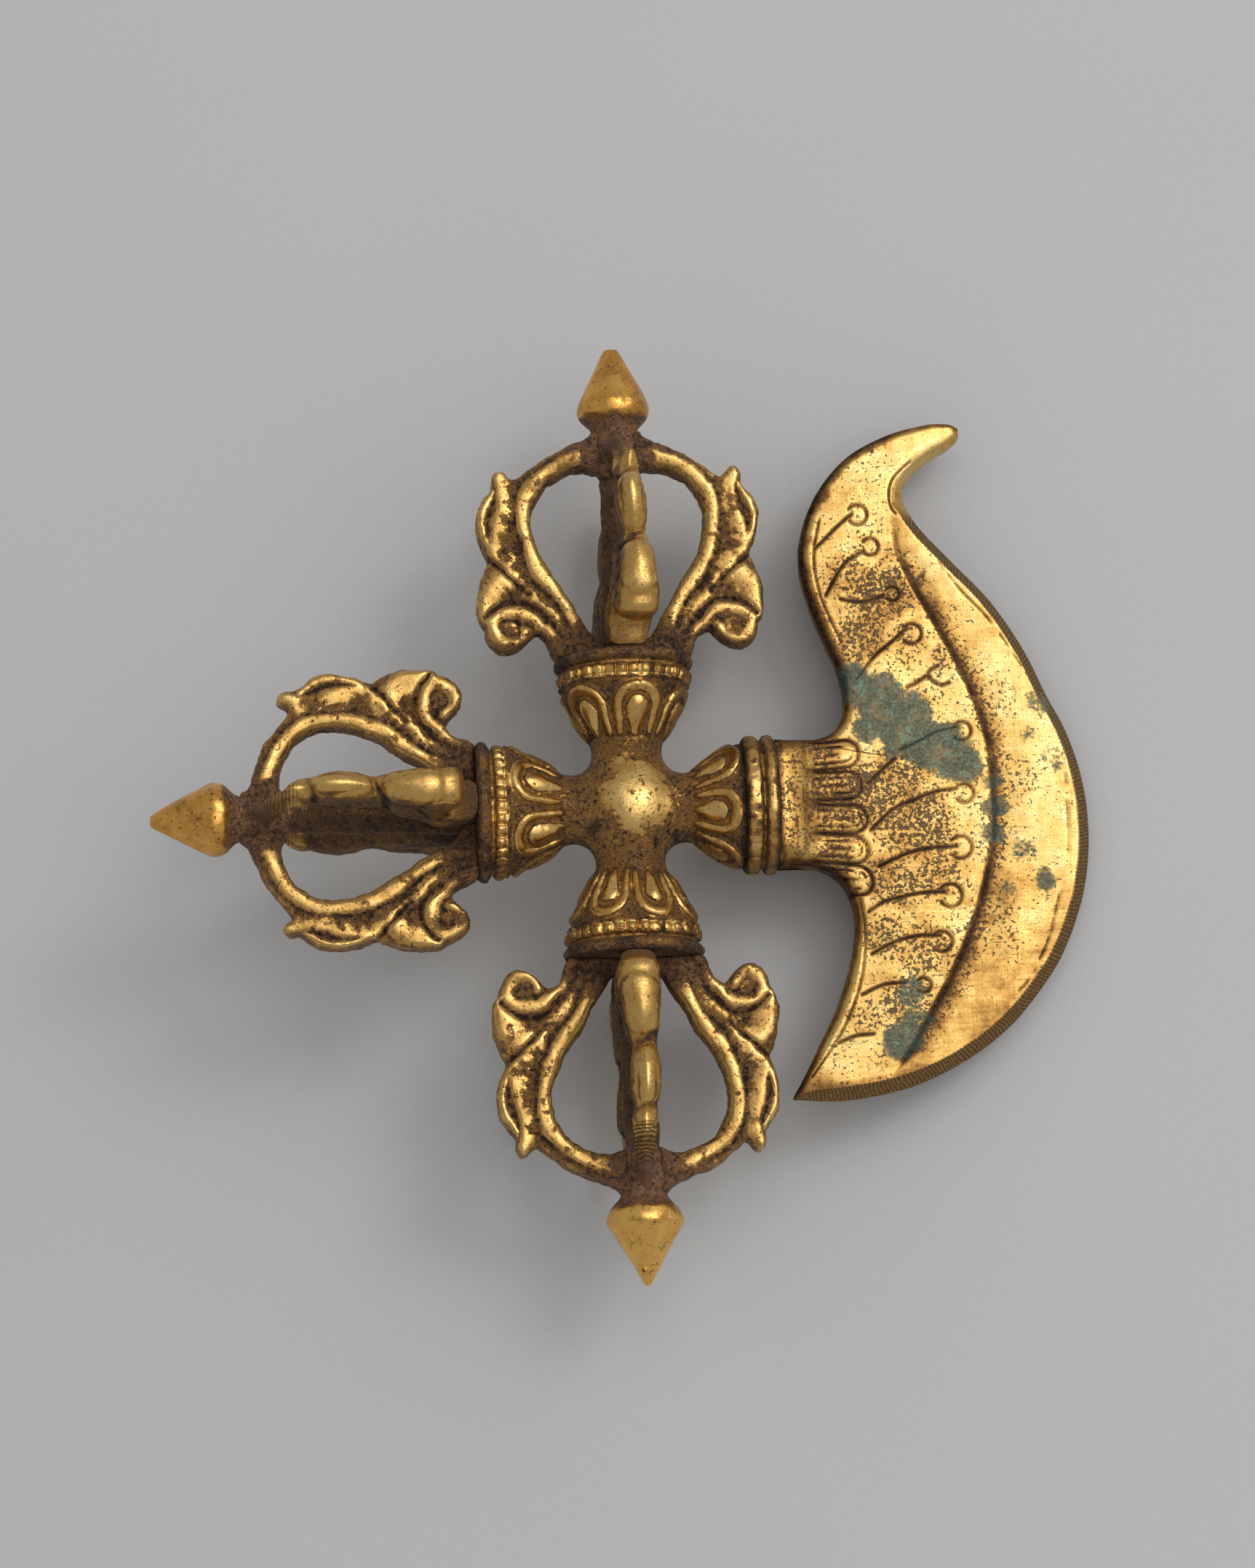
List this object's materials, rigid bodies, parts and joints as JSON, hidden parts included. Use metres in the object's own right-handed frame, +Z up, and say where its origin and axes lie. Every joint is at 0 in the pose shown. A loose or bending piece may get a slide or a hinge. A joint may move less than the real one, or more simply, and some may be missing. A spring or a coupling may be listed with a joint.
{
  "type": "ritual chopper",
  "caption": "Hand-held ritual chopper: a crossed vajra handle of bowed prongs round a lotus hub, with a hooked crescent blade set on its front arm.",
  "frame": {"origin": "middle of the part's footprint, on the surface that it lies on", "axes": "+Z up off that surface, +X towards the blade, +Y towards the side with the blade's horn; the part lies on its back, with its middle plane tipped down towards the blade"},
  "size_m": [0.1247, 0.132, 0.0495],
  "materials": {
    "cast_brass": "cast, rubbed bright on its high points over dark brown recesses",
    "applied_brass": "satin, worn smooth, with file marks near the neck",
    "recess_brass": "rough and dark with age",
    "tip_brass": "satin with shallow scratches and a reddish neck",
    "blade_brass": "polished and pitted, with engraved lines and green patches"
  },
  "bodies": {
    "root": {"hub": "cast_brass", "upper_cup": "cast_brass", "upper_post": "recess_brass", "upper_tip": "tip_brass", "upper_front_prong": "applied_brass", "upper_back_prong": "applied_brass", "upper_left_prong": "cast_brass", "upper_right_prong": "cast_brass", "pommel_cup": "cast_brass", "pommel_post": "recess_brass", "pommel_tip": "tip_brass", "pommel_front_prong": "applied_brass", "pommel_back_prong": "applied_brass", "pommel_left_prong": "cast_brass", "pommel_right_prong": "cast_brass", "lower_cup": "cast_brass", "lower_post": "recess_brass", "lower_tip": "tip_brass", "lower_front_prong": "applied_brass", "lower_back_prong": "applied_brass", "lower_left_prong": "cast_brass", "lower_right_prong": "cast_brass", "blade_cup": "cast_brass", "blade_collar": "cast_brass", "blade": "blade_brass"}
  },
  "joints": []
}
